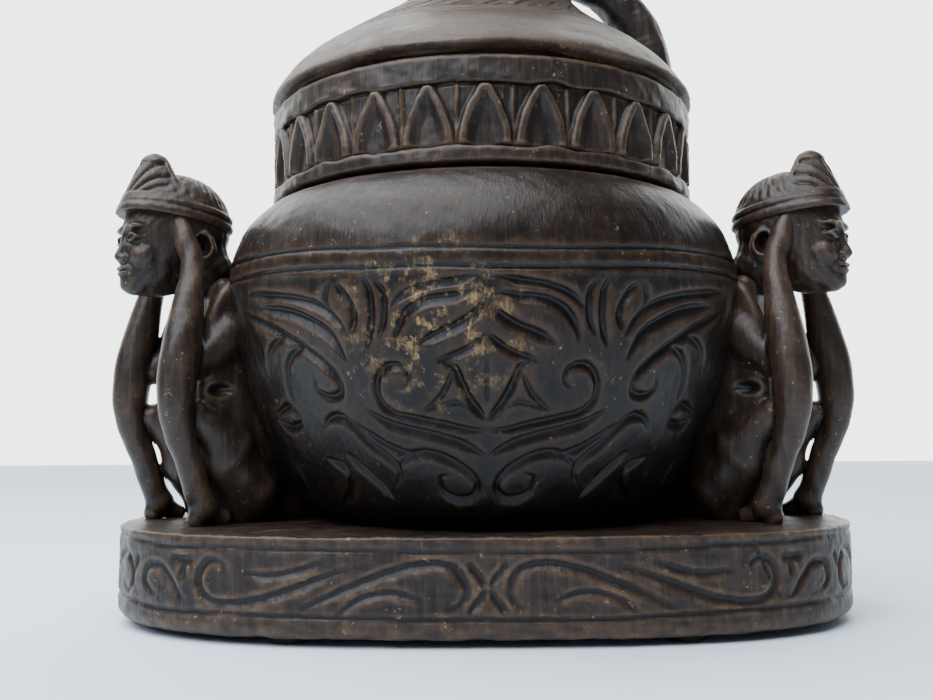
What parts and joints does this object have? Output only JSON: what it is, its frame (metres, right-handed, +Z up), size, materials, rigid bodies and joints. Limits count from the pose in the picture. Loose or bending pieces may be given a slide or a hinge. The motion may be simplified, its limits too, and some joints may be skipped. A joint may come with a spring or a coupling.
{
  "type": "lidded jar",
  "caption": "Carved wooden jar: a round bowl with an arched collar between two crouching figures on an oblong plinth, closed by a domed lift-off lid with a knob and a side handle.",
  "frame": {"origin": "on the ground under the middle of the plinth", "axes": "+X to the right along the plinth's length, -Y out of the carved front, +Z up"},
  "size_m": [0.3172, 0.218, 0.3038],
  "materials": {
    "dark_wood": "satin",
    "worn_wood": "satin",
    "dusty_wood": "matte",
    "pad": "matte"
  },
  "bodies": {
    "jar": {"plinth": "worn_wood", "pad_front_left": "pad", "pad_front_right": "pad", "pad_back_left": "pad", "pad_back_right": "pad", "bowl": "dark_wood", "collar": "worn_wood", "left_torso": "dark_wood", "left_limb_front": "dark_wood", "left_limb_back": "dark_wood", "left_head": "worn_wood", "left_cap": "worn_wood", "right_torso": "dark_wood", "right_limb_front": "dark_wood", "right_limb_back": "dark_wood", "right_head": "worn_wood", "right_cap": "worn_wood"},
    "lid": {"lid_dome": "dusty_wood", "lid_spigot": "dusty_wood", "lid_knob": "dusty_wood", "lid_handle": "dark_wood"}
  },
  "joints": [
    {"name": "lid_lift", "type": "slide", "parent": "jar", "child": "lid", "axis": [0, 0, 1], "range_m": [0, 0.12]}
  ]
}
